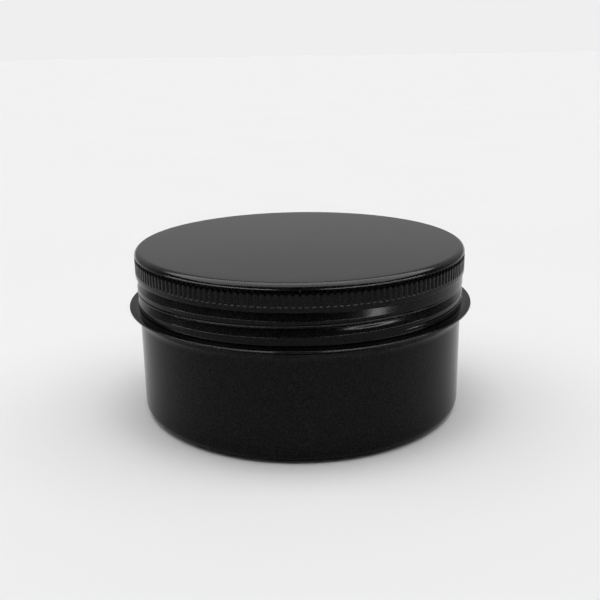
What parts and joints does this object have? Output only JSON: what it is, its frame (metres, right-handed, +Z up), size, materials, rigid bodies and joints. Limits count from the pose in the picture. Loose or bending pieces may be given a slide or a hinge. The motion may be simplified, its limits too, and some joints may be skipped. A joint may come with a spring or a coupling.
{
  "type": "candle tin",
  "caption": "Round screw-top aluminium tin with black lacquer, a knurled lid on a rolled thread, a rolled bead and a foam sealing disc, for candle wax.",
  "frame": {"origin": "centre of the base, on the surface that the tin stands on", "axes": "+Z up through the lid, -Y towards the front"},
  "size_m": [0.083, 0.083, 0.04],
  "materials": {
    "body_lacquer": "matte",
    "lid_lacquer": "matte",
    "liner_foam": "matte"
  },
  "bodies": {
    "tin": {"tin_body": "body_lacquer"},
    "seal": {"lid_liner": "liner_foam"},
    "lid": {"lid_shell": "lid_lacquer"}
  },
  "joints": [
    {"name": "lid_rise", "type": "slide", "parent": "tin", "child": "seal", "axis": [0, 0, 1], "range_m": [0, 0.0144]},
    {"name": "lid_turn", "type": "hinge", "parent": "seal", "child": "lid", "pos_m": [0, 0, 0.04], "axis": [0, 0, 1], "range_deg": [0, 1440]}
  ],
  "couplings": [
    {"joint": "lid_rise", "follows": "lid_turn", "m_per_rad": 0.00057296}
  ]
}
